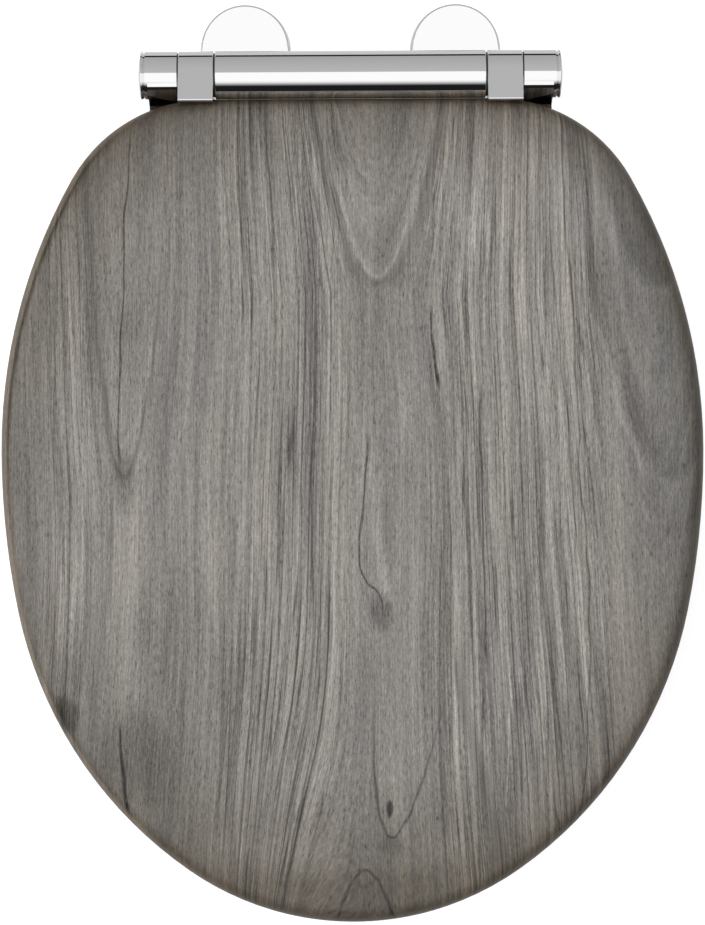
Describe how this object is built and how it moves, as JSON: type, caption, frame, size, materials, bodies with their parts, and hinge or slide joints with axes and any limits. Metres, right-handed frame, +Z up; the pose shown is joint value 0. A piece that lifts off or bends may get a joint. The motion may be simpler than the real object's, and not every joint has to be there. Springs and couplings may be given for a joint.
{
  "type": "toilet seat",
  "caption": "Oval toilet seat with a wood-look lid over an open ring, both hinged on a chrome soft-close bar that bolts to the pan through round base discs.",
  "frame": {"origin": "on the pan's top face, midway between the two fixing bolts", "axes": "+Z up from the pan, -Y to the front of the seat, +X to the right as seen from the front"},
  "size_m": [0.3714, 0.4895, 0.1082],
  "materials": {
    "lid_decor": "satin foil in a grey wood grain",
    "ring_decor": "satin foil in a grey wood grain",
    "chrome": "polished chrome plate on cast zinc",
    "foot_rubber": "matt pale grey rubber",
    "gasket_rubber": "matt black rubber",
    "nylon": "natural white nylon",
    "damper_plastic": "black moulded plastic",
    "steel": "zinc-plated steel"
  },
  "bodies": {
    "base": {"hinge_bar": "chrome", "left_base_gasket": "gasket_rubber", "left_base_plate": "steel", "left_cover_disc": "chrome", "left_fixing_bolt": "steel", "left_inner_washer": "damper_plastic", "left_lid_damper": "damper_plastic", "left_post_screw": "steel", "left_rubber_bushing": "gasket_rubber", "left_wing_nut": "nylon", "right_base_gasket": "gasket_rubber", "right_base_plate": "steel", "right_cover_disc": "chrome", "right_fixing_bolt": "steel", "right_inner_washer": "damper_plastic", "right_post_screw": "steel", "right_ring_damper": "damper_plastic", "right_rubber_bushing": "gasket_rubber", "right_wing_nut": "nylon"},
    "ring": {"bumper_screws": "steel", "left_end_cap": "chrome", "left_front_bumper": "foot_rubber", "left_rear_bumper": "foot_rubber", "left_ring_arm": "chrome", "left_ring_arm_bush": "nylon", "right_end_cap": "chrome", "right_front_bumper": "foot_rubber", "right_rear_bumper": "foot_rubber", "right_ring_arm": "chrome", "right_ring_damper_shaft": "steel", "right_shaft_retainer": "steel", "right_shaft_screw": "steel", "ring_arm_screws": "steel", "seat_ring": "ring_decor"},
    "lid": {"left_front_buffer": "foot_rubber", "left_lid_arm": "chrome", "left_lid_damper_shaft": "steel", "left_outer_washer": "damper_plastic", "left_rear_buffer": "foot_rubber", "left_shaft_retainer": "steel", "left_shaft_screw": "steel", "lid_arm_screws": "steel", "lid_panel": "lid_decor", "right_front_buffer": "foot_rubber", "right_lid_arm": "chrome", "right_lid_arm_bush": "nylon", "right_outer_washer": "damper_plastic", "right_rear_buffer": "foot_rubber"}
  },
  "joints": [
    {"name": "ring_hinge", "type": "hinge", "parent": "base", "child": "ring", "pos_m": [0, -0.0175, 0.043], "axis": [-1, 0, 0], "range_deg": [0, 95]},
    {"name": "lid_hinge", "type": "hinge", "parent": "ring", "child": "lid", "pos_m": [0, -0.0175, 0.043], "axis": [-1, 0, 0], "range_deg": [0, 100]}
  ]
}
